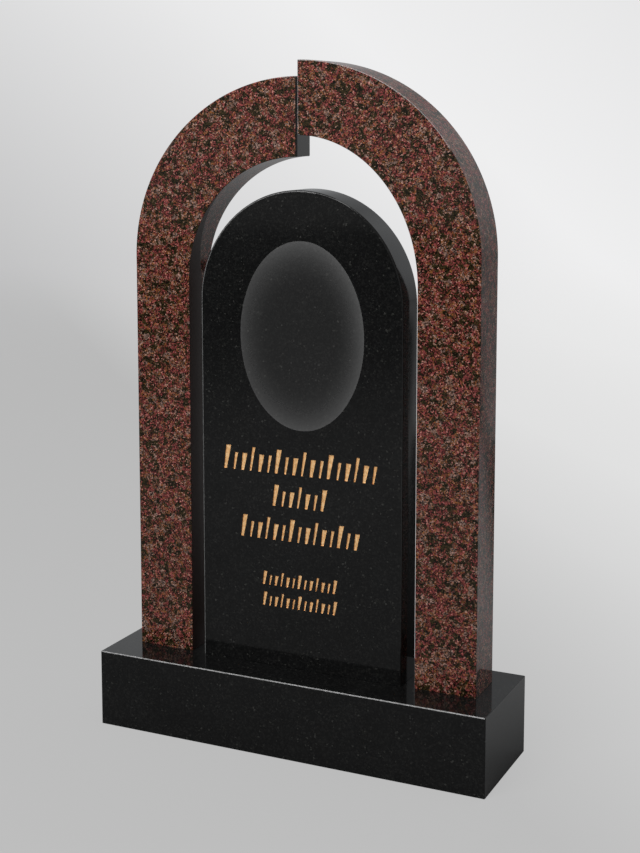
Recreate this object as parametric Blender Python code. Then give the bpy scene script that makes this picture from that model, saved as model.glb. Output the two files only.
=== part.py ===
"""Arched granite headstone.

A polished black stele with a round head stands on a black plinth, under an arch
of red-brown granite. The arch is two pieces, each a leg that turns over into a
quarter arc, and they meet butt to butt at the crown. The right piece rises
higher than the left one, so the crown has a step above and below.

Metres, +Z up. The front faces -Y, and the origin is on the ground under the
middle of the plinth. Run with blender --background --python part.py.
"""
import math
from typing import NamedTuple

import bmesh
import bpy

# Clearances
SEAT_GAP = 0.0003          # between the plinth's top and what stands on it
CROWN_GAP = 0.0003         # between the two butt ends of the arch
STELE_SIDE_GAP = 0.0235    # between the stele's side and the leg beside it, on average
STELE_CROWN_GAP = 0.053    # between the stele's head and the left piece's crown above it

# Arch
ARCH_WIDTH = 0.620         # over both legs
LEFT_THICKNESS = 0.070     # front to back, of the left piece
RIGHT_THICKNESS = 0.080    # and of the right one
LEFT_LEG_WIDTH = 0.103
RIGHT_LEG_WIDTH = 0.105
CROWN_JOINT_X = -0.004     # the butt joint at the front, a little left of the middle
JOINT_SLANT = 0.15         # how far the joint runs to the left, for each metre towards the back
LEFT_CROWN_BAND = 0.129    # the left piece's height at its butt end
RIGHT_CROWN_BAND = 0.120   # the right piece's height at its butt end
TOP_STEP = 0.026           # how far the right piece stands above the left one
ARCH_CHAMFER = 0.0015
ARC_STEPS = 36             # facets in a quarter arc

# Rise of each quarter arc, as a share of its half span: 1 is a true circle
LEFT_OUTER_RISE = 0.980
LEFT_INNER_RISE = 1.015
RIGHT_OUTER_RISE = 0.995
RIGHT_INNER_RISE = 1.145

# Stele
STELE_HEIGHT = 0.800
STELE_THICKNESS = 0.0625
STELE_PROUD = 0.003        # how far its face stands before the legs' faces
STELE_RISE = 1.020         # rise of its head, as a share of half its width
STELE_CHAMFER = 0.002
STELE_ARC_STEPS = 56       # facets in the whole round head

# Plinth
PLINTH_HEIGHT = 0.130
PLINTH_SIDE_LEDGE = 0.040  # beyond each leg
PLINTH_FRONT_LEDGE = 0.069
PLINTH_BACK_LEDGE = 0.051
PLINTH_CHAMFER = 0.0025

# Inscription: rows of chiselled strokes in a block on the stele's face
BLOCK_SIDE_MARGIN = 0.040  # from the stele's side to the longest row
BLOCK_FOOT_SHARE = 0.167   # foot and top of the block, shares of the straight sides' height
BLOCK_TOP_SHARE = 0.604
STROKE_DEPTH = 0.0012
STROKE_INSET = 0.0003      # how far a stroke's sides have leant in at its floor
STROKE_WIDE_SHARE = 0.56   # width of a stroke's head, share of the pitch in its row
STROKE_NARROW_SHARE = 0.34
STROKE_FOOT_SHARE = 0.55   # width of a stroke's foot, share of its head
STROKE_LOW_SHARE = 0.72    # height of the low strokes, share of the tall ones
STROKE_LEAN = 0.16         # sideways lean, share of the stroke's height
CUTTER_LIP = 0.002         # how far the cutter stands out of the face


class Row(NamedTuple):
    """One row of strokes, in shares of the block of writing."""

    base: float
    height: float
    length: float
    strokes: int


ROWS = (
    Row(base=0.849, height=0.151, length=1.000, strokes=18),
    Row(base=0.644, height=0.134, length=0.360, strokes=7),
    Row(base=0.427, height=0.140, length=0.776, strokes=15),
    Row(base=0.134, height=0.086, length=0.490, strokes=13),
    Row(base=0.000, height=0.086, length=0.490, strokes=13),
)

# Colours, linear
BLACK_GRANITE = (0.012, 0.012, 0.012, 1.0)
RED_GRANITE = (0.110, 0.045, 0.032, 1.0)
POLISHED = 0.10

# What follows from the sizes above
INNER_WIDTH = ARCH_WIDTH - LEFT_LEG_WIDTH - RIGHT_LEG_WIDTH
STELE_WIDTH = INNER_WIDTH - 2 * STELE_SIDE_GAP
PLINTH_WIDTH = ARCH_WIDTH + 2 * PLINTH_SIDE_LEDGE
PLINTH_DEPTH = PLINTH_FRONT_LEDGE + RIGHT_THICKNESS + PLINTH_BACK_LEDGE
SEAT_Z = PLINTH_HEIGHT + SEAT_GAP
PLINTH_FRONT_Y = -PLINTH_DEPTH / 2
ARCH_FRONT_Y = PLINTH_FRONT_Y + PLINTH_FRONT_LEDGE
STELE_FRONT_Y = ARCH_FRONT_Y - STELE_PROUD
LEFT_UNDERSIDE = STELE_HEIGHT + STELE_CROWN_GAP
LEFT_TOP = LEFT_UNDERSIDE + LEFT_CROWN_BAND
RIGHT_TOP = LEFT_TOP + TOP_STEP
RIGHT_UNDERSIDE = RIGHT_TOP - RIGHT_CROWN_BAND


def clear_scene():
    """Remove every object that the file starts with."""
    for item in list(bpy.data.objects):
        bpy.data.objects.remove(item, do_unlink=True)


def granite(name, colour):
    """A polished granite, as one plain Principled material."""
    material = bpy.data.materials.new(name)
    material.use_nodes = True
    shader = material.node_tree.nodes["Principled BSDF"]
    shader.inputs["Base Color"].default_value = colour
    shader.inputs["Roughness"].default_value = POLISHED
    shader.inputs["Metallic"].default_value = 0.0
    material.diffuse_color = colour
    return material


def add_piece(name, bm, location, material, parent):
    """Turn a bmesh into a smooth-shaded object that rides on the parent."""
    bmesh.ops.recalc_face_normals(bm, faces=bm.faces)
    mesh = bpy.data.meshes.new(name)
    bm.to_mesh(mesh)
    bm.free()
    if material is not None:
        mesh.materials.append(material)
    mesh.shade_smooth()
    mesh.set_sharp_from_angle(angle=math.radians(25))
    piece = bpy.data.objects.new(name, mesh)
    piece.location = location
    piece.parent = parent
    bpy.context.scene.collection.objects.link(piece)
    return piece


def chamfer(bm, edges, width):
    """Cut a flat chamfer along the edges."""
    bmesh.ops.bevel(bm, geom=edges, offset=width, offset_type="OFFSET", segments=1,
                    profile=0.5, affect="EDGES", clamp_overlap=True)


def sharp_edges(bm):
    """Edges where two faces meet at a corner, but not those between the facets of an arc."""
    bmesh.ops.recalc_face_normals(bm, faces=bm.faces)
    return [edge for edge in bm.edges if edge.calc_face_angle(0) > math.radians(45)]


def quarter_arc(span, rise, spring, steps):
    """Points from the spring of an arc, at x = -span, to its crown at x = 0."""
    points = []
    for step in range(steps + 1):
        angle = math.pi / 2 * step / steps
        points.append((-span * math.cos(angle), spring + rise * math.sin(angle)))
    return points


def make_plinth(parent):
    """The block that carries the rest, chamfered except round its underside."""
    bm = bmesh.new()
    bmesh.ops.create_cube(bm, size=1.0)
    bmesh.ops.scale(bm, vec=(PLINTH_WIDTH, PLINTH_DEPTH, PLINTH_HEIGHT), verts=bm.verts)
    bmesh.ops.translate(bm, vec=(0, 0, PLINTH_HEIGHT / 2), verts=bm.verts)
    above_ground = [edge for edge in bm.edges if max(vert.co.z for vert in edge.verts) > PLINTH_HEIGHT / 2]
    chamfer(bm, above_ground, PLINTH_CHAMFER)
    return add_piece("plinth", bm, (0, 0, 0), granite("plinth_black_granite", BLACK_GRANITE), parent)


def cut_butt_end(bm, side):
    """Saw off what lies past the slanting joint, and close the sawn end."""
    cut = bmesh.ops.bisect_plane(bm, geom=bm.verts[:] + bm.edges[:] + bm.faces[:], dist=1e-7,
                                 plane_co=(0, 0, 0), plane_no=(1, JOINT_SLANT, 0),
                                 clear_outer=side < 0, clear_inner=side > 0)
    sawn = [item for item in cut["geom_cut"] if isinstance(item, bmesh.types.BMEdge)]
    bmesh.ops.contextual_create(bm, geom=sawn)


def make_arch_piece(name, side, leg_width, thickness, top, underside, outer_ratio, inner_ratio, parent):
    """One leg with its quarter arc, as a band between an outer and an inner edge.

    side is -1 for the left piece and 1 for the right one. The band is worked
    out with its butt end at x = 0 and its leg on the left, and is then turned
    over for the right piece. It runs level past the joint, and the slanting
    butt end is cut from that.
    """
    spare = 2 * JOINT_SLANT * thickness
    outer_span = ARCH_WIDTH / 2 + side * -CROWN_JOINT_X - CROWN_GAP / 2
    inner_span = outer_span - leg_width
    outer_rise = outer_span * outer_ratio
    inner_rise = inner_span * inner_ratio
    outer = quarter_arc(outer_span, outer_rise, top - outer_rise, ARC_STEPS)
    outer = [(-outer_span, 0.0), *outer, (spare, top)]
    inner = quarter_arc(inner_span, inner_rise, underside - inner_rise, ARC_STEPS)
    inner = [(-inner_span, 0.0), *inner, (spare, underside)]

    bm = bmesh.new()
    rings = []
    for points, y in ((outer, 0.0), (inner, 0.0), (inner, thickness), (outer, thickness)):
        rings.append([bm.verts.new((-side * x, y, z)) for x, z in points])
    for ring, neighbour in zip(rings, rings[1:] + rings[:1]):
        for step in range(len(outer) - 1):
            bm.faces.new((ring[step], ring[step + 1], neighbour[step + 1], neighbour[step]))
    bm.faces.new([ring[0] for ring in rings])
    bm.faces.new([ring[-1] for ring in rings])
    cut_butt_end(bm, side)
    chamfer(bm, sharp_edges(bm), ARCH_CHAMFER)

    location = (CROWN_JOINT_X + side * CROWN_GAP / 2, ARCH_FRONT_Y, SEAT_Z)
    return add_piece(name, bm, location, granite(f"{name}_red_granite", RED_GRANITE), parent)


def make_stele(parent):
    """The slab between the legs, with a round head and the strokes cut in its face."""
    half = STELE_WIDTH / 2
    rise = half * STELE_RISE
    spring = STELE_HEIGHT - rise
    left = quarter_arc(half, rise, spring, STELE_ARC_STEPS // 2)
    right = [(-x, z) for x, z in reversed(left[:-1])]
    outline = [(-half, 0.0)] + left + right + [(half, 0.0)]

    bm = bmesh.new()
    face = bm.faces.new([bm.verts.new((x, 0.0, z)) for x, z in outline])
    swept = bmesh.ops.extrude_face_region(bm, geom=[face])["geom"]
    moved = [item for item in swept if isinstance(item, bmesh.types.BMVert)]
    bmesh.ops.translate(bm, vec=(0, STELE_THICKNESS, 0), verts=moved)
    chamfer(bm, sharp_edges(bm), STELE_CHAMFER)
    stele = add_piece("stele", bm, (0, STELE_FRONT_Y, SEAT_Z),
                      granite("stele_black_granite", BLACK_GRANITE), parent)

    cutter = make_stroke_cutter(spring, stele)
    cut = stele.modifiers.new("inscription", "BOOLEAN")
    cut.operation = "DIFFERENCE"
    cut.solver = "EXACT"
    cut.object = cutter
    return stele


def stroke_corners(row, block_width, block_foot, block_height):
    """Corners of each stroke of a row in the face's plane, as lists of (x, z)."""
    length = row.length * block_width
    pitch = length / row.strokes
    base = block_foot + row.base * block_height
    tall = row.height * block_height
    for number in range(row.strokes):
        centre = -length / 2 + pitch * (number + 0.5)
        height = tall if number % 3 == 0 else tall * STROKE_LOW_SHARE
        head = pitch * (STROKE_NARROW_SHARE if number % 2 else STROKE_WIDE_SHARE)
        foot = head * STROKE_FOOT_SHARE
        lean = min(STROKE_LEAN * height, pitch / 2)
        low, high = centre - lean / 2, centre + lean / 2
        yield [(low - foot / 2, base), (low + foot / 2, base),
               (high + head / 2, base + height), (high - head / 2, base + height)]


def make_stroke_cutter(spring, stele):
    """All the strokes as tapered blocks that reach through the stele's face."""
    block_width = STELE_WIDTH - 2 * BLOCK_SIDE_MARGIN
    block_foot = spring * BLOCK_FOOT_SHARE
    block_height = spring * (BLOCK_TOP_SHARE - BLOCK_FOOT_SHARE)
    bm = bmesh.new()
    for row in ROWS:
        for corners in stroke_corners(row, block_width, block_foot, block_height):
            add_tapered_block(bm, corners)
    cutter = add_piece("stroke_cutter", bm, (0, 0, 0), None, stele)
    cutter.hide_render = True
    cutter.display_type = "WIRE"
    return cutter


def add_tapered_block(bm, corners):
    """A block from before the stele's face to the stroke's floor, with its sides leaning in."""
    rings = []
    for y in (-CUTTER_LIP, STROKE_DEPTH):
        inset = STROKE_INSET * y / STROKE_DEPTH
        signs = ((1, 1), (-1, 1), (-1, -1), (1, -1))
        rings.append([bm.verts.new((x + inset * side, y, z + inset * up))
                      for (x, z), (side, up) in zip(corners, signs)])
    front, floor = rings
    bm.faces.new(front)
    bm.faces.new(floor)
    for corner in range(4):
        following = (corner + 1) % 4
        bm.faces.new((front[corner], front[following], floor[following], floor[corner]))


def main():
    clear_scene()
    headstone = bpy.data.objects.new("headstone", None)
    bpy.context.scene.collection.objects.link(headstone)
    make_plinth(headstone)
    make_stele(headstone)
    make_arch_piece("arch_left", -1, LEFT_LEG_WIDTH, LEFT_THICKNESS, LEFT_TOP, LEFT_UNDERSIDE,
                    LEFT_OUTER_RISE, LEFT_INNER_RISE, headstone)
    make_arch_piece("arch_right", 1, RIGHT_LEG_WIDTH, RIGHT_THICKNESS, RIGHT_TOP, RIGHT_UNDERSIDE,
                    RIGHT_OUTER_RISE, RIGHT_INNER_RISE, headstone)


main()
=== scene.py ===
"""Arched granite headstone.

A black stele with a round head stands on a black plinth, under a red arch of two halves that meet
butt to butt at the crown. Metres, +Z up, and the inscription faces -Y.
"""
import math

import bmesh
import bpy
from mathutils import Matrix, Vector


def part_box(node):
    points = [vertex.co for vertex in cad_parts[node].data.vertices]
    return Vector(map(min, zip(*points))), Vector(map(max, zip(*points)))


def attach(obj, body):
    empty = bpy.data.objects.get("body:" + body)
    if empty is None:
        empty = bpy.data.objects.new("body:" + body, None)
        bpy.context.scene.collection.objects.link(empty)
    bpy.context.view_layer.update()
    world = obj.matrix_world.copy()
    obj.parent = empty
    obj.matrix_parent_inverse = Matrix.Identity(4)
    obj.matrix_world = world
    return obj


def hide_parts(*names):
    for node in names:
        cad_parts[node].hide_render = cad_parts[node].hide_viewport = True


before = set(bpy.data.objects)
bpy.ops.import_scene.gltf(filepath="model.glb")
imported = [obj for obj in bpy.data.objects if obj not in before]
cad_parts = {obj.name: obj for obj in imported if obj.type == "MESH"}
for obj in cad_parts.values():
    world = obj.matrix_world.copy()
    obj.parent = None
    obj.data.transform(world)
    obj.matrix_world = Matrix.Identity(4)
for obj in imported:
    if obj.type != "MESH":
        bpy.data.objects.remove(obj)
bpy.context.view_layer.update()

# Plinth
# One sawn block of fine black gabbro that carries the rest. Its top and sides are polished, the long
# arrises of its top are eased by hand and stay honed, and are painted pale grey, partly as a highlight,
# and its underside is as sawn.

PLINTH_ARRIS = 0.0015
PLINTH_PALENESS = 0.9      # of its honed arrises, which is partly a painted highlight, from 0 for polished stone to 1 for pale grey
ARRIS_SEGMENTS = 3
SHARP_CORNER = 45.0        # degrees, above which an edge of a blank is an arris
SMOOTH_CURVE = 20.0        # degrees, up to which facets shade as one curve
BLACK_GRAIN = 0.0024
BLACK_INDEX = 1.46         # refractive index of the polish on the black stone


def add(tree, kind, inputs=None, **settings):
    """Add a node, with its settings, and with each input linked to a socket or set to a value."""
    node = tree.nodes.new(kind)
    for name, value in settings.items():
        setattr(node, name, value)
    for key, value in (inputs or {}).items():
        if isinstance(value, bpy.types.NodeSocket):
            tree.links.new(value, node.inputs[key])
        else:
            node.inputs[key].default_value = value
    return node


def sums(tree, operation, *values):
    """One step of arithmetic on sockets or numbers."""
    return add(tree, "ShaderNodeMath", dict(enumerate(values)), operation=operation).outputs[0]


def span(tree, value, low, high, to_low, to_high, interpolation="LINEAR"):
    """Carry a value from one range to another, held at its ends."""
    inputs = {"Value": value, "From Min": low, "From Max": high, "To Min": to_low, "To Max": to_high}
    return add(tree, "ShaderNodeMapRange", inputs, interpolation_type=interpolation).outputs["Result"]


def ramp(tree, value, stops, interpolation="LINEAR"):
    """Colours along a value, from (place, red, green, blue) stops."""
    node = add(tree, "ShaderNodeValToRGB", {"Fac": value})
    node.color_ramp.interpolation = interpolation
    elements = node.color_ramp.elements
    while len(elements) < len(stops):
        elements.new(1.0)
    for element, (place, *colour) in zip(elements, stops):
        element.position = place
        element.color = (*colour, 1.0)
    return node.outputs["Color"]


def mix_colours(tree, factor, first, second, blend="MIX"):
    """Mix two colours, each a socket or a value."""
    node = add(tree, "ShaderNodeMix", data_type="RGBA", blend_type=blend)
    for key, value in ((0, factor), (6, first), (7, second)):
        if isinstance(value, bpy.types.NodeSocket):
            tree.links.new(value, node.inputs[key])
        else:
            node.inputs[key].default_value = value
    return node.outputs[2]


def new_group(name, kind, given, made):
    """A node group with named inputs and outputs, and its two end nodes."""
    tree = bpy.data.node_groups.new(name, kind)
    for label, socket_type, value in given:
        socket = tree.interface.new_socket(name=label, in_out="INPUT", socket_type=socket_type)
        if value is not None:
            socket.default_value = value
    for label, socket_type in made:
        tree.interface.new_socket(name=label, in_out="OUTPUT", socket_type=socket_type)
    return tree, tree.nodes.new("NodeGroupInput").outputs, tree.nodes.new("NodeGroupOutput").inputs


def cells(tree, vector, size, wander):
    """Mineral grains: Voronoi cells of a size, with edges bent by noise. Gives their random colour."""
    scale = sums(tree, "DIVIDE", 1.0, size)
    bend = add(tree, "ShaderNodeTexNoise", {"Vector": vector, "Scale": scale, "Detail": 1.0})
    centred = add(tree, "ShaderNodeVectorMath", {0: bend.outputs["Color"], 1: (0.5, 0.5, 0.5)},
                  operation="SUBTRACT")
    reach = sums(tree, "MULTIPLY", size, wander)
    shift = add(tree, "ShaderNodeVectorMath", {0: centred.outputs[0], "Scale": reach}, operation="SCALE")
    bent = add(tree, "ShaderNodeVectorMath", {0: vector, 1: shift.outputs[0]}, operation="ADD")
    grains = add(tree, "ShaderNodeTexVoronoi", {"Vector": bent.outputs[0], "Scale": scale})
    return add(tree, "ShaderNodeSeparateColor", {"Color": grains.outputs["Color"]}).outputs


def black_grain_group():
    """Fine gabbro: near-black grains, a few grey ones and now and then a silvery fleck."""
    tree, given, made = new_group(
        "black granite grain", "ShaderNodeTree",
        (("Vector", "NodeSocketVector", None), ("Grain Size", "NodeSocketFloat", BLACK_GRAIN)),
        (("Color", "NodeSocketColor"), ("Roughness", "NodeSocketFloat")))
    grain = cells(tree, given["Vector"], given["Grain Size"], wander=0.9)
    colour = ramp(tree, grain["Red"], (
        (0.00, 0.0026, 0.0027, 0.0028), (0.60, 0.0045, 0.0046, 0.0046), (0.90, 0.0085, 0.0087, 0.0085),
        (0.985, 0.012, 0.012, 0.011), (0.997, 0.032, 0.032, 0.030)))
    cloud = add(tree, "ShaderNodeTexNoise", {"Vector": given["Vector"], "Scale": 14.0, "Detail": 3.0})
    shade = span(tree, cloud.outputs["Fac"], 0.3, 0.7, 0.80, 1.20)
    shaded = add(tree, "ShaderNodeVectorMath", {0: colour, "Scale": shade}, operation="SCALE")
    tree.links.new(shaded.outputs[0], made["Color"])
    tree.links.new(span(tree, grain["Green"], 0.0, 1.0, 0.055, 0.105), made["Roughness"])
    return tree


def unpolished_highlight_group():
    """Stone that the polisher leaves: paler and duller, with the marks of the stone that eased it. On the
    arrises its pale grey is partly a painted highlight.
    """
    tree, given, made = new_group(
        "dull stone and painted arris highlight", "ShaderNodeTree",
        (("Vector", "NodeSocketVector", None), ("Color", "NodeSocketColor", None),
         ("Roughness", "NodeSocketFloat", 0.1), ("Unpolished Highlight", "NodeSocketFloat", 0.0),
         ("Paleness", "NodeSocketFloat", 0.5)),
        (("Color", "NodeSocketColor"), ("Roughness", "NodeSocketFloat")))
    marks = add(tree, "ShaderNodeTexNoise", {"Vector": given["Vector"], "Scale": 260.0, "Detail": 2.0})
    # Painted highlight: on the arrises this share also turns the stone pale grey, standing partly for
    # light caught there.
    worn = sums(tree, "MULTIPLY", given["Unpolished Highlight"],
                span(tree, marks.outputs["Fac"], 0.35, 0.65, 0.55, 1.0))
    pale = sums(tree, "MULTIPLY", worn, given["Paleness"])
    colour = mix_colours(tree, pale, given["Color"], (0.42, 0.42, 0.42, 1.0))
    tree.links.new(colour, made["Color"])
    rough = add(tree, "ShaderNodeMix", {0: worn, 2: given["Roughness"], 3: 0.42}, data_type="FLOAT")
    tree.links.new(rough.outputs[0], made["Roughness"])
    return tree


def new_material(name):
    """A material with its tree, its Principled shader, Object coordinates and the mask of what isn't
    polished, which on the arrises is also a painted highlight.
    """
    material = bpy.data.materials.new(name)
    material.use_nodes = True
    tree = material.node_tree
    place = add(tree, "ShaderNodeTexCoord").outputs["Object"]
    mask = add(tree, "ShaderNodeAttribute", attribute_name="unpolished_highlight").outputs["Fac"]
    return material, tree, tree.nodes["Principled BSDF"], place, mask


def polish(tree, shader, place):
    """The faint slow ripple that polishing leaves in a face."""
    ripple = add(tree, "ShaderNodeTexNoise", {"Vector": place, "Scale": 30.0, "Detail": 1.0})
    bump = add(tree, "ShaderNodeBump", {
        "Height": ripple.outputs["Fac"], "Strength": 0.10, "Distance": 0.0002})
    tree.links.new(bump.outputs["Normal"], shader.inputs["Normal"])


def ease_arrises(bm, width, foot, is_honed_highlight):
    """Round the sharp edges above the foot, and mark what isn't polished: the underside, and the chosen
    arrises, dulled by honing and painted pale, partly as a highlight.
    """
    mask = bm.faces.layers.float.new("unpolished_highlight")
    bmesh.ops.recalc_face_normals(bm, faces=bm.faces)
    sharp = [edge for edge in bm.edges if edge.calc_face_angle(0) > math.radians(SHARP_CORNER)
             and max(vert.co.z for vert in edge.verts) > foot + width]
    eased = bmesh.ops.bevel(bm, geom=sharp, offset=width, offset_type="OFFSET", profile=0.5,
                            segments=ARRIS_SEGMENTS, affect="EDGES", clamp_overlap=True)
    bmesh.ops.recalc_face_normals(bm, faces=bm.faces)
    rounded = set(eased["faces"])
    for face in bm.faces:
        underside = face.normal.z < -0.99 and face.calc_center_median().z < foot + width
        honed_highlight = face in rounded and is_honed_highlight(face)
        face[mask] = 1.0 if honed_highlight or underside else 0.0


def new_piece(name, bm, material):
    """An object from a bmesh, smooth along its curves and crisp at its edges."""
    mesh = bpy.data.meshes.new(name)
    bm.to_mesh(mesh)
    bm.free()
    mesh.materials.append(material)
    mesh.shade_smooth()
    mesh.set_sharp_from_angle(angle=math.radians(SMOOTH_CURVE))
    piece = bpy.data.objects.new(name, mesh)
    bpy.context.scene.collection.objects.link(piece)
    return piece


def flatten_shading(piece):
    """Let the large faces keep their true normals, so that they mirror as flats right to the arris."""
    weighted = piece.modifiers.new("true flats", "WEIGHTED_NORMAL")
    weighted.keep_sharp = True


BLACK_GRAIN_GROUP = black_grain_group()
UNPOLISHED_HIGHLIGHT_GROUP = unpolished_highlight_group()


def black_granite(name, arris_paleness):
    """Polished black gabbro, its arrises dulled by honing and painted pale, partly as a highlight. Also
    gives its nodes, for more work on the stele.
    """
    material, tree, shader, place, mask = new_material(name)
    grain = add(tree, "ShaderNodeGroup", node_tree=BLACK_GRAIN_GROUP)
    tree.links.new(place, grain.inputs["Vector"])
    grain.inputs["Grain Size"].default_value = BLACK_GRAIN
    stone = add(tree, "ShaderNodeGroup", node_tree=UNPOLISHED_HIGHLIGHT_GROUP)
    tree.links.new(place, stone.inputs["Vector"])
    tree.links.new(grain.outputs["Color"], stone.inputs["Color"])
    tree.links.new(grain.outputs["Roughness"], stone.inputs["Roughness"])
    tree.links.new(mask, stone.inputs["Unpolished Highlight"])
    stone.inputs["Paleness"].default_value = arris_paleness
    tree.links.new(stone.outputs["Color"], shader.inputs["Base Color"])
    tree.links.new(stone.outputs["Roughness"], shader.inputs["Roughness"])
    shader.inputs["IOR"].default_value = BLACK_INDEX
    polish(tree, shader, place)
    return material, tree, shader, place, stone


low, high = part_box("plinth")
bm = bmesh.new()
bmesh.ops.create_cube(bm, size=1.0)
bmesh.ops.scale(bm, vec=high - low, verts=bm.verts)
bmesh.ops.translate(bm, vec=(low + high) / 2, verts=bm.verts)
ease_arrises(bm, PLINTH_ARRIS, low.z, lambda face: face.normal.z > 0.2 and abs(face.normal.x) < 0.2)
plinth = new_piece("plinth_block", bm, black_granite("polished black granite, plinth", PLINTH_PALENESS)[0])
flatten_shading(plinth)
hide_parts("plinth")
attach(plinth, "root")

# Stele
# A slab of the same gabbro, a little over 6 cm thick, with a half-round head, polished all round and
# set on the plinth in adhesive. A portrait field is frosted on its face with fine grit, and the
# inscription is rows of strokes, cut 1.2 mm deep and gilded. The strokes aren't letters.

STELE_ARRIS = 0.003
STELE_PALENESS = 0.33      # of the face's arris where it is honed and painted pale, partly as a highlight
HONED_HIGHLIGHT_TO = 0.03            # it is honed, and painted pale partly as a highlight, up the left side and over the top, as far as this x
HEAD_RISE = 1.020          # rise of the head, as a share of half the slab's width
HEAD_STEPS = 128
OVAL_CENTRE = (0.004, 0.692)   # x and z of the frosted field
OVAL_REACH = (0.1116, 0.1560)  # half its width and height
OVAL_CLEAR = 0.45          # share of the way to its rim at which the frost begins to thicken
OVAL_CURVE = 2.6           # how late it thickens: 1 is evenly
OVAL_RIM = 0.66            # how much thicker it is at the rim than in the middle
OVAL_HAZE = 0.16           # frost in the middle
OVAL_THIN_LEFT = 0.62      # share of the rim's frost that the left side has
FROST_ROUGHNESS = 0.60
FROST_PALENESS = 0.20      # how far full frost turns the stone to pale grey
BLOCK_MARGIN = 0.040       # from the slab's side to the longest row
BLOCK_FOOT = 0.167         # foot and top of the block of rows, shares of the straight sides' height
BLOCK_TOP = 0.604
STROKE_DEPTH = 0.0012
STROKE_INSET = 0.0003
STROKE_LIP = 0.002
STROKE_WIDE = 0.56         # width of a stroke's head, share of the pitch
STROKE_NARROW = 0.34
STROKE_FOOT = 0.55         # width of its foot, share of its head
STROKE_LOW = 0.72          # height of the low strokes, share of the tall ones
STROKE_LEAN = 0.16
# Each row: its foot, height and length in shares of the block, and its number of strokes
ROWS = ((0.849, 0.151, 1.000, 18), (0.644, 0.134, 0.360, 7), (0.427, 0.140, 0.776, 15),
        (0.134, 0.086, 0.490, 13), (0.000, 0.086, 0.490, 13))


def gilding():
    """Gold size and leaf, brushed into the strokes: warm, a little uneven and slightly worn."""
    material = bpy.data.materials.new("gilded strokes")
    material.use_nodes = True
    tree = material.node_tree
    shader = tree.nodes["Principled BSDF"]
    place = add(tree, "ShaderNodeTexCoord").outputs["Object"]
    patches = add(tree, "ShaderNodeTexNoise", {"Vector": place, "Scale": 220.0, "Detail": 3.0})
    colour = ramp(tree, patches.outputs["Fac"], (
        (0.30, 0.62, 0.34, 0.13), (0.50, 0.84, 0.50, 0.22), (0.72, 0.95, 0.66, 0.36)))
    tree.links.new(colour, shader.inputs["Base Color"])
    tree.links.new(span(tree, patches.outputs["Fac"], 0.3, 0.7, 0.50, 0.34), shader.inputs["Roughness"])
    shader.inputs["Metallic"].default_value = 0.15
    bump = add(tree, "ShaderNodeBump", {
        "Height": patches.outputs["Fac"], "Strength": 0.3, "Distance": 0.0003})
    tree.links.new(bump.outputs["Normal"], shader.inputs["Normal"])
    return material


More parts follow.
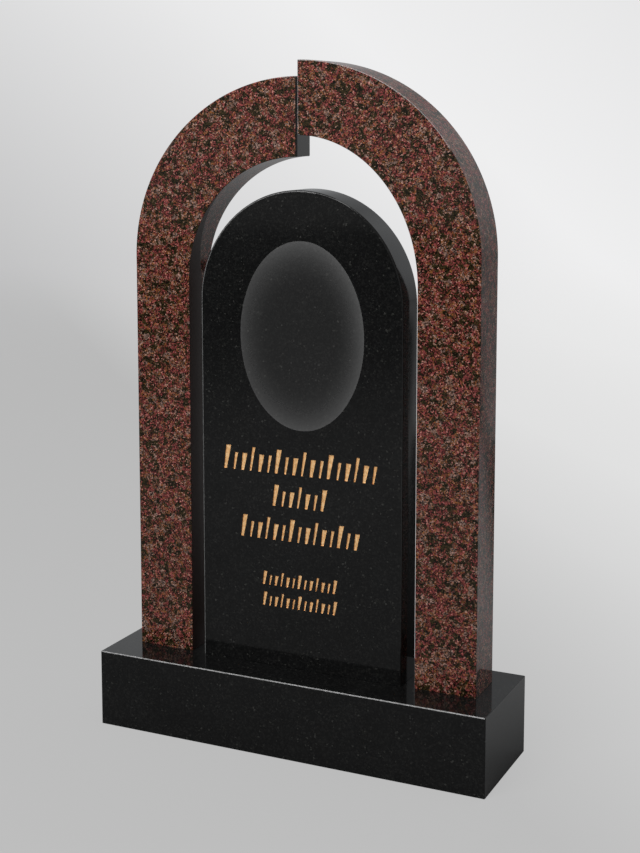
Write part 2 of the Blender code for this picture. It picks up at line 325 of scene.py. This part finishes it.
def stroke_row_tree(material):
    """A row of chiselled strokes: blocks in a line, each tapered and leant by its number in the row."""
    real, whole, shape = "NodeSocketFloat", "NodeSocketInt", "NodeSocketGeometry"
    tree, given, made = new_group(
        "row of strokes", "GeometryNodeTree",
        (("Strokes", whole, 10), ("Length", real, 0.2), ("Foot", real, 0.3), ("Height", real, 0.03),
         ("Face", real, 0.0)),
        (("Geometry", shape),))
    pitch = sums(tree, "DIVIDE", given["Length"], given["Strokes"])
    line = add(tree, "GeometryNodeMeshLine", {"Count": given["Strokes"]})
    numbered = add(tree, "GeometryNodeStoreNamedAttribute", {
        "Geometry": line.outputs["Mesh"], "Name": "number",
        "Value": add(tree, "GeometryNodeInputIndex").outputs["Index"]}, data_type="FLOAT", domain="POINT")
    block = add(tree, "GeometryNodeMeshCube")
    placed = add(tree, "GeometryNodeStoreNamedAttribute", {
        "Geometry": block.outputs["Mesh"], "Name": "corner"}, data_type="FLOAT_VECTOR", domain="POINT")
    tree.links.new(add(tree, "GeometryNodeInputPosition").outputs["Position"], placed.inputs["Value"])
    strokes = add(tree, "GeometryNodeInstanceOnPoints", {
        "Points": numbered.outputs["Geometry"], "Instance": placed.outputs["Geometry"]})
    solid = add(tree, "GeometryNodeRealizeInstances", {"Geometry": strokes.outputs["Instances"]})

    numbering = add(tree, "GeometryNodeInputNamedAttribute", {"Name": "number"}, data_type="FLOAT")
    number = numbering.outputs["Attribute"]
    corner = add(tree, "GeometryNodeInputNamedAttribute", {"Name": "corner"}, data_type="FLOAT_VECTOR")
    side = add(tree, "ShaderNodeSeparateXYZ", {0: corner.outputs["Attribute"]}).outputs
    up = sums(tree, "ADD", side["Z"], 0.5)
    tall = sums(tree, "LESS_THAN", sums(tree, "MODULO", number, 3.0), 0.5)
    height = sums(tree, "MULTIPLY", given["Height"], span(tree, tall, 0.0, 1.0, STROKE_LOW, 1.0))
    narrow = sums(tree, "GREATER_THAN", sums(tree, "MODULO", number, 2.0), 0.5)
    head = sums(tree, "MULTIPLY", pitch, span(tree, narrow, 0.0, 1.0, STROKE_WIDE, STROKE_NARROW))
    width = sums(tree, "MULTIPLY", head, span(tree, up, 0.0, 1.0, STROKE_FOOT, 1.0))
    lean = sums(tree, "MULTIPLY", height, STROKE_LEAN)
    lean = sums(tree, "MINIMUM", lean, sums(tree, "MULTIPLY", pitch, 0.5))
    depth = span(tree, side["Y"], -0.5, 0.5, -STROKE_LIP, STROKE_DEPTH)
    inset = sums(tree, "MULTIPLY", depth, 2 * STROKE_INSET / STROKE_DEPTH)
    centre = sums(tree, "MULTIPLY", sums(tree, "ADD", number, 0.5), pitch)
    centre = sums(tree, "SUBTRACT", centre, sums(tree, "MULTIPLY", given["Length"], 0.5))
    across = sums(tree, "MULTIPLY", side["X"], sums(tree, "SUBTRACT", width, inset))
    x = sums(tree, "ADD", sums(tree, "ADD", centre, across), sums(tree, "MULTIPLY", lean, side["Z"]))
    z = sums(tree, "ADD", given["Foot"], sums(tree, "MULTIPLY", height, up))
    z = sums(tree, "SUBTRACT", z, sums(tree, "MULTIPLY", side["Z"], inset))
    y = sums(tree, "ADD", given["Face"], depth)
    position = add(tree, "ShaderNodeCombineXYZ", {"X": x, "Y": y, "Z": z})
    moved = add(tree, "GeometryNodeSetPosition", {
        "Geometry": solid.outputs["Geometry"], "Position": position.outputs["Vector"]})
    painted = add(tree, "GeometryNodeSetMaterial", {
        "Geometry": moved.outputs["Geometry"], "Material": material})
    tree.links.new(painted.outputs["Geometry"], made["Geometry"])
    return tree


def grown(tree, settings):
    """The mesh that a geometry tree makes with these inputs."""
    holder = bpy.data.objects.new(tree.name, bpy.data.meshes.new(tree.name))
    bpy.context.scene.collection.objects.link(holder)
    modifier = holder.modifiers.new(tree.name, "NODES")
    modifier.node_group = tree
    sockets = {item.name: item.identifier for item in tree.interface.items_tree if item.in_out == "INPUT"}
    for name, value in settings.items():
        modifier[sockets[name]] = value
    evaluated = holder.evaluated_get(bpy.context.evaluated_depsgraph_get())
    mesh = bpy.data.meshes.new_from_object(evaluated)
    bpy.data.objects.remove(holder)
    return mesh


def frosted_oval(tree, place):
    """How frosted the face is: 1 at the oval's rim, fading to a haze inside it, 0 outside."""
    part = add(tree, "ShaderNodeSeparateXYZ", {0: place}).outputs
    across = sums(tree, "DIVIDE", sums(tree, "SUBTRACT", part["X"], OVAL_CENTRE[0]), OVAL_REACH[0])
    along = sums(tree, "DIVIDE", sums(tree, "SUBTRACT", part["Z"], OVAL_CENTRE[1]), OVAL_REACH[1])
    away = sums(tree, "SQRT", sums(tree, "ADD", sums(tree, "MULTIPLY", across, across),
                                   sums(tree, "MULTIPLY", along, along)))
    inside = sums(tree, "LESS_THAN", away, 1.0)
    front = sums(tree, "LESS_THAN", part["Y"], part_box("stele")[0].y + STELE_ARRIS / 2)
    fade = sums(tree, "POWER", span(tree, away, OVAL_CLEAR, 1.0, 0.0, 1.0), OVAL_CURVE)
    fade = sums(tree, "MULTIPLY", fade, OVAL_RIM)
    thin_left = span(tree, across, -0.95, -0.2, OVAL_THIN_LEFT, 1.0, "SMOOTHSTEP")
    veil = sums(tree, "ADD", sums(tree, "MULTIPLY", fade, thin_left), OVAL_HAZE)
    return sums(tree, "MULTIPLY", sums(tree, "MULTIPLY", veil, inside), front)


low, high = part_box("stele")
half = (high.x - low.x) / 2
rise = half * HEAD_RISE
spring = high.z - rise
outline = [(-half, low.z)]
for step in range(HEAD_STEPS + 1):
    angle = math.pi * (1 - step / HEAD_STEPS)
    outline.append((half * math.cos(angle), spring + rise * math.sin(angle)))
outline.append((half, low.z))
bm = bmesh.new()
face = bm.faces.new([bm.verts.new((x, low.y, z)) for x, z in outline])
swept = bmesh.ops.extrude_face_region(bm, geom=[face])["geom"]
moved = [vert for vert in swept if isinstance(vert, bmesh.types.BMVert)]
bmesh.ops.translate(bm, vec=(0, high.y - low.y, 0), verts=moved)
ease_arrises(bm, STELE_ARRIS, low.z,
             lambda face: face.normal.y < -0.9 and face.calc_center_median().x < HONED_HIGHLIGHT_TO)

stone, tree, shader, place, honed_highlight = black_granite("polished black granite, stele", STELE_PALENESS)
frost = frosted_oval(tree, place)
grit = add(tree, "ShaderNodeTexNoise", {"Vector": place, "Scale": 900.0, "Detail": 1.0})
frost = sums(tree, "MULTIPLY", frost, span(tree, grit.outputs["Fac"], 0.3, 0.7, 0.85, 1.15))
frosted = mix_colours(tree, sums(tree, "MULTIPLY", frost, FROST_PALENESS), honed_highlight.outputs["Color"],
                      (0.36, 0.36, 0.36, 1.0))
tree.links.new(frosted, shader.inputs["Base Color"])
dull = add(tree, "ShaderNodeMix", {0: frost, 2: honed_highlight.outputs["Roughness"], 3: FROST_ROUGHNESS},
           data_type="FLOAT")
tree.links.new(dull.outputs[0], shader.inputs["Roughness"])

slab = new_piece("stele_slab", bm, stone)
gold = gilding()
row_tree = stroke_row_tree(gold)
block_width = 2 * half - 2 * BLOCK_MARGIN
straight = spring - low.z
block_height = straight * (BLOCK_TOP - BLOCK_FOOT)
bm = bmesh.new()
for foot, tall, length, strokes in ROWS:
    bm.from_mesh(grown(row_tree, {
        "Strokes": strokes, "Length": length * block_width, "Height": tall * block_height,
        "Foot": low.z + straight * BLOCK_FOOT + foot * block_height, "Face": low.y}))
bmesh.ops.recalc_face_normals(bm, faces=bm.faces)
cutter = new_piece("stroke_cutter", bm, gold)
cut = slab.modifiers.new("inscription", "BOOLEAN")
cut.operation = "DIFFERENCE"
cut.solver = "EXACT"
cut.material_mode = "TRANSFER"
cut.object = cutter
evaluated = slab.evaluated_get(bpy.context.evaluated_depsgraph_get())
carved = bpy.data.meshes.new_from_object(evaluated)
slab.modifiers.remove(cut)
slab.data = carved
bpy.data.objects.remove(cutter)
carved.set_sharp_from_angle(angle=math.radians(SMOOTH_CURVE))
flatten_shading(slab)
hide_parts("stele")
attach(slab, "root")

# Arch
# Two halves of red-brown granite, cut from 7 cm and 8 cm slab, each a leg that turns over into a
# quarter arc. They stand on the plinth and are glued butt to butt at the crown, the right one higher.

ARCH_ARRIS = 0.0015
ARCH_PALENESS = 0.50       # of its arrises where they are honed and painted pale, partly as a highlight
HONED_HIGHLIGHT_FROM = 1.0           # the right half's front arris is left honed, and painted pale partly as a highlight, over the top, above this height
JOINT_X = -0.004           # the joint between the halves, at the front
JOINT_GAP = 0.0003
JOINT_SPARE = 0.03         # length of band that is sawn off past the joint
JOINT_SLANT = 0.15         # how far it runs to the left, for each metre towards the back
MASTIC_WIDTH = 0.0034      # of the black mastic that shows beside the joint, on the left half
# The dark strip on the front of the left half's inner face is painted shade: it stands for the shade
# between the leg and the stele, and for the stele's dark side mirrored there.
PAINTED_SHADE_DEPTH = 0.046       # of the painted shade on the left half's inner face, back from its front
PAINTED_SHADE_SPRING = 0.777      # height from which the strip of painted shade tapers
PAINTED_SHADE_TOP = 0.935         # height at which it has tapered out
PAINTED_SHADE_INSIDE = -0.235     # x that parts the inner face from the outer one, up to there
PAINTED_SHADE_FEATHER = 0.002     # over which its edge fades
PAINTED_SHADE_ROUGHNESS = 0.40
ARC_STEPS = 80             # facets in a quarter arc
LEG_STEPS = 40
RED_GRAIN = 0.0019
PATCH_SIZE = 4.4           # size of its patches of one mineral, in grains
PATCH_SHARE = 0.70         # how far a grain takes the mineral of its patch
FLECKS_FROM = 0.91         # of the grains, those past this share are pale flecks
RED_INDEX = 1.43           # refractive index of the polish on the red stone
GRAIN_SHIFT = 0.7          # how far each half's pattern is moved, in opposite ways
# Each half: side, width of its leg, height of its band at the crown, and the rise of its outer and
# inner arcs as a share of their half spans
HALVES = (("arch_left", -1, 0.103, 0.129, 0.980, 1.015), ("arch_right", 1, 0.105, 0.120, 0.995, 1.145))


def quarter_arch_tree():
    """A leg with its quarter arc: a strip between an outer and an inner line, given its thickness."""
    real, shape = "NodeSocketFloat", "NodeSocketGeometry"
    names = ("Side", "Joint", "Outer Span", "Leg Width", "Crown Height", "Crown Band", "Outer Rise",
             "Inner Rise", "Front", "Thickness", "Foot")
    tree, given, made = new_group(
        "quarter arch", "GeometryNodeTree",
        (*((name, real, 0.1) for name in names), ("Stone", "NodeSocketMaterial", None)),
        (("Geometry", shape),))
    strip = add(tree, "GeometryNodeMeshGrid", {
        "Size X": 1.0, "Size Y": 1.0, "Vertices X": LEG_STEPS + ARC_STEPS + 1, "Vertices Y": 2})
    position = add(tree, "GeometryNodeInputPosition").outputs["Position"]
    part = add(tree, "ShaderNodeSeparateXYZ", {0: position}).outputs
    leg_share = LEG_STEPS / (LEG_STEPS + ARC_STEPS)
    along = sums(tree, "ADD", part["X"], 0.5)
    inward = sums(tree, "ADD", part["Y"], 0.5)
    on_leg = span(tree, along, 0.0, leg_share, 0.0, 1.0)
    turn = span(tree, along, leg_share, 1.0, 0.0, math.pi / 2)
    reach = sums(tree, "SUBTRACT", given["Outer Span"], sums(tree, "MULTIPLY", given["Leg Width"], inward))
    lowered = sums(tree, "MULTIPLY", given["Crown Band"], inward)
    crown = sums(tree, "SUBTRACT", given["Crown Height"], lowered)
    rise_gain = sums(tree, "SUBTRACT", given["Inner Rise"], given["Outer Rise"])
    rise = sums(tree, "MULTIPLY_ADD", inward, rise_gain, given["Outer Rise"])
    spring = sums(tree, "MULTIPLY", sums(tree, "SUBTRACT", crown, rise), on_leg)
    z = sums(tree, "ADD", spring, sums(tree, "MULTIPLY", rise, sums(tree, "SINE", turn)))
    x = sums(tree, "MULTIPLY", sums(tree, "MULTIPLY", reach, sums(tree, "COSINE", turn)), given["Side"])
    place = add(tree, "ShaderNodeCombineXYZ", {
        "X": sums(tree, "ADD", x, given["Joint"]), "Y": given["Front"],
        "Z": sums(tree, "ADD", z, given["Foot"])})
    front = add(tree, "GeometryNodeSetPosition", {
        "Geometry": strip.outputs["Mesh"], "Position": place.outputs["Vector"]}).outputs["Geometry"]
    depth = add(tree, "ShaderNodeCombineXYZ", {"Y": given["Thickness"]})
    swept = add(tree, "GeometryNodeExtrudeMesh", {
        "Mesh": front, "Offset": depth.outputs["Vector"], "Individual": False})
    back_to_front = add(tree, "GeometryNodeFlipFaces", {"Mesh": front})
    closed = add(tree, "GeometryNodeJoinGeometry")
    tree.links.new(swept.outputs["Mesh"], closed.inputs["Geometry"])
    tree.links.new(back_to_front.outputs["Mesh"], closed.inputs["Geometry"])
    welded = add(tree, "GeometryNodeMergeByDistance", {
        "Geometry": closed.outputs["Geometry"], "Distance": 1e-5})
    solid = add(tree, "GeometryNodeRealizeInstances", {"Geometry": welded.outputs["Geometry"]})
    painted = add(tree, "GeometryNodeSetMaterial", {
        "Geometry": solid.outputs["Geometry"], "Material": given["Stone"]})
    tree.links.new(painted.outputs["Geometry"], made["Geometry"])
    return tree


def red_grain_group():
    """Coarse red granite: rose and orange feldspar, brown-black and grey-pink patches, pale flecks."""
    tree, given, made = new_group(
        "red granite grain", "ShaderNodeTree",
        (("Vector", "NodeSocketVector", None), ("Grain Size", "NodeSocketFloat", RED_GRAIN)),
        (("Color", "NodeSocketColor"), ("Roughness", "NodeSocketFloat")))
    fine = cells(tree, given["Vector"], given["Grain Size"], wander=1.2)
    patch_size = sums(tree, "MULTIPLY", given["Grain Size"], PATCH_SIZE)
    patch = cells(tree, given["Vector"], patch_size, wander=1.0)
    by_patch = sums(tree, "MULTIPLY", patch["Red"], PATCH_SHARE)
    pick = sums(tree, "MULTIPLY_ADD", fine["Blue"], 1.0 - PATCH_SHARE, by_patch)
    mineral = ramp(tree, pick, (
        (0.00, 0.014, 0.012, 0.003), (0.35, 0.032, 0.020, 0.007), (0.41, 0.146, 0.030, 0.028),
        (0.59, 0.166, 0.038, 0.036), (0.63, 0.140, 0.048, 0.013), (0.72, 0.130, 0.052, 0.016),
        (0.78, 0.142, 0.082, 0.066), (1.00, 0.175, 0.118, 0.098)))
    tone = ramp(tree, fine["Red"], (
        (0.00, 0.05, 0.05, 0.05), (0.25, 0.20, 0.20, 0.20), (0.50, 0.80, 0.80, 0.80),
        (0.78, 1.40, 1.40, 1.40), (1.00, 2.10, 2.10, 2.10)))
    toned = mix_colours(tree, 1.0, mineral, tone, "MULTIPLY")
    fleck = span(tree, fine["Red"], FLECKS_FROM, 1.0, 0.0, 0.60)
    colour = mix_colours(tree, fleck, toned, (0.56, 0.31, 0.25, 1.0))
    tree.links.new(colour, made["Color"])
    tree.links.new(span(tree, fine["Green"], 0.0, 1.0, 0.06, 0.12), made["Roughness"])
    return tree


RED_GRAIN_GROUP = red_grain_group()


def mastic_mask(tree, place, width):
    """1 on the strip of this width beside the joint and on the butt end, 0 elsewhere."""
    part = add(tree, "ShaderNodeSeparateXYZ", {0: place}).outputs
    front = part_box("arch_left")[0].y
    line = sums(tree, "MULTIPLY_ADD", sums(tree, "SUBTRACT", part["Y"], front), JOINT_SLANT, part["X"])
    return sums(tree, "COMPARE", line, JOINT_X, width)


def painted_shade_mask(tree, place):
    """1 on the front of the left half's inner face, in a strip that tapers out up the arc, where shade is
    painted.
    """
    part = add(tree, "ShaderNodeSeparateXYZ", {0: place}).outputs
    depth = sums(tree, "SUBTRACT", part["Y"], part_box("arch_left")[0].y)
    reach = span(tree, part["Z"], PAINTED_SHADE_SPRING, PAINTED_SHADE_TOP, PAINTED_SHADE_DEPTH, 0.0)
    strip = span(tree, sums(tree, "SUBTRACT", reach, depth), 0.0, PAINTED_SHADE_FEATHER, 0.0, 1.0)
    behind_front = sums(tree, "GREATER_THAN", depth, ARCH_ARRIS / 2)
    inner = sums(tree, "GREATER_THAN", part["X"], PAINTED_SHADE_INSIDE)
    return sums(tree, "MULTIPLY", strip, sums(tree, "MULTIPLY", behind_front, inner))


def red_granite(name, offset, mastic, painted_shade):
    """Polished red granite, its arrises dulled by honing and painted pale, partly as a highlight. The
    offset keeps the two halves from matching.

    The left half alone also gets its strip of mastic and its strip of painted shade.
    """
    material, tree, shader, place, mask = new_material(name)
    moved = add(tree, "ShaderNodeMapping", {"Vector": place, "Location": offset}).outputs["Vector"]
    grain = add(tree, "ShaderNodeGroup", node_tree=RED_GRAIN_GROUP)
    tree.links.new(moved, grain.inputs["Vector"])
    grain.inputs["Grain Size"].default_value = RED_GRAIN
    stone = add(tree, "ShaderNodeGroup", node_tree=UNPOLISHED_HIGHLIGHT_GROUP)
    tree.links.new(place, stone.inputs["Vector"])
    tree.links.new(grain.outputs["Color"], stone.inputs["Color"])
    tree.links.new(grain.outputs["Roughness"], stone.inputs["Roughness"])
    tree.links.new(mask, stone.inputs["Unpolished Highlight"])
    stone.inputs["Paleness"].default_value = ARCH_PALENESS
    mastic_and_painted_shade = mix_colours(tree, mastic_mask(tree, place, mastic), stone.outputs["Color"],
                          (0.004, 0.004, 0.004, 1.0))
    rough = stone.outputs["Roughness"]
    if painted_shade:
        # Painted shade: the front of the left half's inner face is darkened to near black-brown and
        # dulled.
        strip = painted_shade_mask(tree, place)
        mastic_and_painted_shade = mix_colours(tree, strip, mastic_and_painted_shade, (0.022, 0.005, 0.002, 1.0))
        dulled = add(tree, "ShaderNodeMix", {0: strip, 2: rough, 3: PAINTED_SHADE_ROUGHNESS}, data_type="FLOAT")
        rough = dulled.outputs[0]
    tree.links.new(mastic_and_painted_shade, shader.inputs["Base Color"])
    tree.links.new(rough, shader.inputs["Roughness"])
    shader.inputs["IOR"].default_value = RED_INDEX
    polish(tree, shader, place)
    return material


def saw_butt_end(bm, joint, front, side):
    """Carry the band level past the joint, then saw it off along the slanting joint and close it."""
    end = [face for face in bm.faces if abs(face.normal.x) > 0.999
           and abs(face.calc_center_median().x - joint) < 1e-4]
    spare = bmesh.ops.extrude_face_region(bm, geom=end)["geom"]
    bmesh.ops.delete(bm, geom=end, context="FACES")
    moved = [vert for vert in spare if isinstance(vert, bmesh.types.BMVert)]
    bmesh.ops.translate(bm, vec=(-JOINT_SPARE * side, 0, 0), verts=moved)
    cut = bmesh.ops.bisect_plane(bm, geom=bm.verts[:] + bm.edges[:] + bm.faces[:], dist=1e-6,
                                 plane_co=(joint, front, 0), plane_no=(1, JOINT_SLANT, 0),
                                 clear_outer=side < 0, clear_inner=side > 0)
    sawn = [edge for edge in cut["geom_cut"] if isinstance(edge, bmesh.types.BMEdge)]
    bmesh.ops.contextual_create(bm, geom=sawn)


def is_honed_highlight_on_arch(face, side, joint, front):
    """The arrises at the joint stay dull from honing, and so does the front one over the top of the right
    half. All of them are painted pale, partly as a highlight.
    """
    middle = face.calc_center_median()
    beside_joint = abs(middle.x - joint) < 2 * ARCH_ARRIS
    on_top = side > 0 and middle.z > HONED_HIGHLIGHT_FROM and face.normal.z > 0.1
    at_front = middle.y < front + ARCH_ARRIS and face.normal.y < -0.5
    return beside_joint or (on_top and at_front)


arch_tree = quarter_arch_tree()
for node, side, leg, band, outer_rise, inner_rise in HALVES:
    low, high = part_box(node)
    joint = JOINT_X + side * JOINT_GAP / 2
    outer_span = high.x - joint if side > 0 else joint - low.x
    mastic = MASTIC_WIDTH if side < 0 else 0.0
    stone = red_granite(f"polished red granite, {node}", (0.0, 0.0, GRAIN_SHIFT * side), mastic, side < 0)
    bm = bmesh.new()
    bm.from_mesh(grown(arch_tree, {
        "Side": float(side), "Joint": joint, "Outer Span": outer_span, "Leg Width": leg,
        "Crown Height": high.z - low.z, "Crown Band": band, "Outer Rise": outer_span * outer_rise,
        "Inner Rise": (outer_span - leg) * inner_rise, "Front": low.y,
        "Thickness": high.y - low.y, "Foot": low.z, "Stone": stone}))
    bmesh.ops.recalc_face_normals(bm, faces=bm.faces)
    saw_butt_end(bm, joint, low.y, side)
    ease_arrises(bm, ARCH_ARRIS, low.z, lambda face: is_honed_highlight_on_arch(face, side, joint, low.y))
    arch_half = new_piece(f"{node}_half", bm, stone)
    flatten_shading(arch_half)
    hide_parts(node)
    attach(arch_half, "root")

# Studio
# A plain pale floor that fades into a pale backdrop, a large soft light above the front and a weak
# one overhead, with the camera to the right of the face. The camera sees the floor and the backdrop
# in their own tones, and the polish mirrors them in others.

CAMERA_PLACE = (1.06865, -2.22663, 1.04784)
CAMERA_TURN = (90 - 6.8563, 0.0, 25.178)   # degrees
CAMERA_LENS = 63.892                       # mm, on a 36 mm sensor
CAMERA_SHIFT = -0.15                       # share of the picture's height
FLOOR_RADIUS = 12.0
FLOOR_FADE = (3.0, 9.0)    # distances over which the floor gives way to the backdrop
FLOOR_SLANT = 1.134        # it pales towards the back and, this many times as fast, towards the right
# The mirrored floor is dark where the sides of the gaps mirror it, as painted shade for the gaps, and
# pale where the outer sides and the arc do. Their lines of sight run back to the right, in metres of x
# for each metre of y
GAP_SLOPE = 0.37           # of the line between dark and pale
GAP_EDGE = 0.25            # its x at y 0
GAP_SOFTNESS = 0.008       # how softly the one turns into the other along it
GAP_CROSSING = 2.43        # y at which dark and pale change sides
GAP_END = (4.5, 5.5)       # y over which the dark ends
LEG_SLOPE = 0.57           # of the lines of sight by way of the left leg's inner face
LEG_EDGE = (-0.34, -0.27)  # their x at y 0, from the pale that the arc mirrors to the dark
STELE_SLOPE = 0.396        # of the lines of sight by way of the stele's right side
STELE_EDGE = (0.13, 0.16)  # their x at y 0, from the same pale to the dark
DARK_SHARE = 0.08          # tone of the dark, as a share of the pale
BACKDROP_RISE = 3.11       # how fast the backdrop's tone changes upwards
BACKDROP_TURN = 2.94       # and towards the right

scene = bpy.context.scene
scene.view_settings.view_transform = "Standard"
lens = bpy.data.cameras.new("camera")
lens.lens = CAMERA_LENS
lens.shift_y = CAMERA_SHIFT
camera = bpy.data.objects.new("camera", lens)
camera.location = CAMERA_PLACE
camera.rotation_euler = [math.radians(angle) for angle in CAMERA_TURN]
scene.collection.objects.link(camera)
scene.camera = camera

bm = bmesh.new()
bmesh.ops.create_circle(bm, cap_ends=True, segments=96, radius=FLOOR_RADIUS)
floor_material = bpy.data.materials.new("studio floor")
floor_material.use_nodes = True
tree = floor_material.node_tree
tree.nodes.clear()
seen = add(tree, "ShaderNodeLightPath").outputs["Is Camera Ray"]
place = add(tree, "ShaderNodeTexCoord").outputs["Object"]
part = add(tree, "ShaderNodeSeparateXYZ", {0: place}).outputs
far = add(tree, "ShaderNodeVectorMath", {0: place}, operation="LENGTH").outputs["Value"]
slant = sums(tree, "MULTIPLY_ADD", part["X"], FLOOR_SLANT, part["Y"])
pale = ramp(tree, span(tree, slant, 0.0, 7.0, 0.0, 1.0), (
    (0.05, 0.46, 0.46, 0.46), (0.096, 0.51, 0.51, 0.51), (0.21, 0.645, 0.645, 0.645),
    (0.31, 0.72, 0.72, 0.72), (0.54, 0.78, 0.78, 0.78), (1.0, 0.81, 0.81, 0.81)))
even = add(tree, "ShaderNodeEmission", {"Color": pale, "Strength": seen})
mirrored = ramp(tree, span(tree, slant, 0.25, 1.6, 0.0, 1.0, "SMOOTHSTEP"), (
    (0.0, 0.18, 0.18, 0.18), (1.0, 0.66, 0.66, 0.66)))
by_gap = sums(tree, "MULTIPLY_ADD", part["Y"], -GAP_SLOPE, part["X"])
aside = sums(tree, "SUBTRACT", by_gap, GAP_EDGE)
crossed = sums(tree, "MULTIPLY", aside, sums(tree, "SUBTRACT", GAP_CROSSING, part["Y"]))
beyond = span(tree, part["Y"], *GAP_END, 0.0, 1.0)
in_front = sums(tree, "LESS_THAN", part["Y"], 0.0)
by_leg = sums(tree, "MULTIPLY_ADD", part["Y"], -LEG_SLOPE, part["X"])
by_stele = sums(tree, "MULTIPLY_ADD", part["Y"], -STELE_SLOPE, part["X"])
by_arc = sums(tree, "MULTIPLY", span(tree, by_leg, *LEG_EDGE, 1.0, 0.0),
              span(tree, by_stele, *STELE_EDGE, 1.0, 0.0))
# Painted shade: the floor turns dark only where the sides of the gaps mirror it.
pale_part = span(tree, crossed, -GAP_SOFTNESS, GAP_SOFTNESS, DARK_SHARE, 1.0)
for area in (beyond, in_front, by_arc):
    pale_part = sums(tree, "MAXIMUM", pale_part, area)
mirrored = mix_colours(tree, pale_part, (0.0, 0.0, 0.0, 1.0), mirrored)
tone = mix_colours(tree, seen, mirrored, (0.05, 0.05, 0.05, 1.0))
matt = add(tree, "ShaderNodeBsdfDiffuse", {"Color": tone})
lit = add(tree, "ShaderNodeAddShader", {0: matt.outputs[0], 1: even.outputs[0]})
rim = sums(tree, "MULTIPLY", span(tree, far, *FLOOR_FADE, 0.0, 1.0, "SMOOTHSTEP"), seen)
clear = add(tree, "ShaderNodeBsdfTransparent")
both = add(tree, "ShaderNodeMixShader", {0: rim, 1: lit.outputs[0], 2: clear.outputs[0]})
add(tree, "ShaderNodeOutputMaterial", {"Surface": both.outputs[0]})
floor = new_piece("floor", bm, floor_material)

world = bpy.data.worlds.new("studio")
world.use_nodes = True
tree = world.node_tree
tree.nodes.clear()
seen = add(tree, "ShaderNodeLightPath").outputs["Is Camera Ray"]
sight = add(tree, "ShaderNodeTexCoord").outputs["Generated"]
part = add(tree, "ShaderNodeSeparateXYZ", {0: sight}).outputs
turning = sums(tree, "MULTIPLY", part["X"], BACKDROP_TURN)
rising = sums(tree, "MULTIPLY_ADD", part["Z"], BACKDROP_RISE, turning)
backdrop = ramp(tree, span(tree, rising, -2.15, -0.15, 0.0, 1.0), (
    (0.00, 0.515, 0.515, 0.520), (0.45, 0.810, 0.810, 0.815),
    (0.56, 0.860, 0.860, 0.865), (0.90, 0.790, 0.790, 0.795)))
# Mirrored, it is dark but for its high part at the back, which is dimmer left of the middle
high_part = span(tree, part["Z"], -0.10, 0.16, 0.0, 1.0, "SMOOTHSTEP")
back_part = span(tree, part["Y"], -0.3, 0.2, 0.0, 1.0, "SMOOTHSTEP")
either_side = sums(tree, "MAXIMUM", span(tree, part["X"], -0.50, -0.31, 1.0, 0.60),
                   span(tree, part["X"], -0.10, 0.10, 0.60, 1.0))
high_back = mix_colours(tree, either_side, (0.0, 0.0, 0.0, 1.0), (0.46, 0.47, 0.48, 1.0))
studio = mix_colours(tree, sums(tree, "MULTIPLY", high_part, back_part),
                     (0.27, 0.27, 0.27, 1.0), high_back)
glow = add(tree, "ShaderNodeBackground", {"Color": mix_colours(tree, seen, studio, backdrop)})
add(tree, "ShaderNodeOutputWorld", {"Surface": glow.outputs[0]})
scene.world = world

# Each light: name, place, width, height, power in watts
for name, spot, width, height, power in (
        ("front_softbox", (-0.5, -2.6, 2.7), 2.4, 1.8, 105.0),
        ("top_softbox", (0.6, 0.2, 3.2), 1.6, 1.6, 18.0)):
    light = bpy.data.lights.new(name, "AREA")
    light.shape = "RECTANGLE"
    light.size = width
    light.size_y = height
    light.energy = power
    lamp = bpy.data.objects.new(name, light)
    lamp.location = spot
    aim = (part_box("stele")[0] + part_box("stele")[1]) / 2 - lamp.location
    lamp.rotation_euler = aim.to_track_quat("-Z", "Y").to_euler()
    lamp.visible_camera = False
    scene.collection.objects.link(lamp)
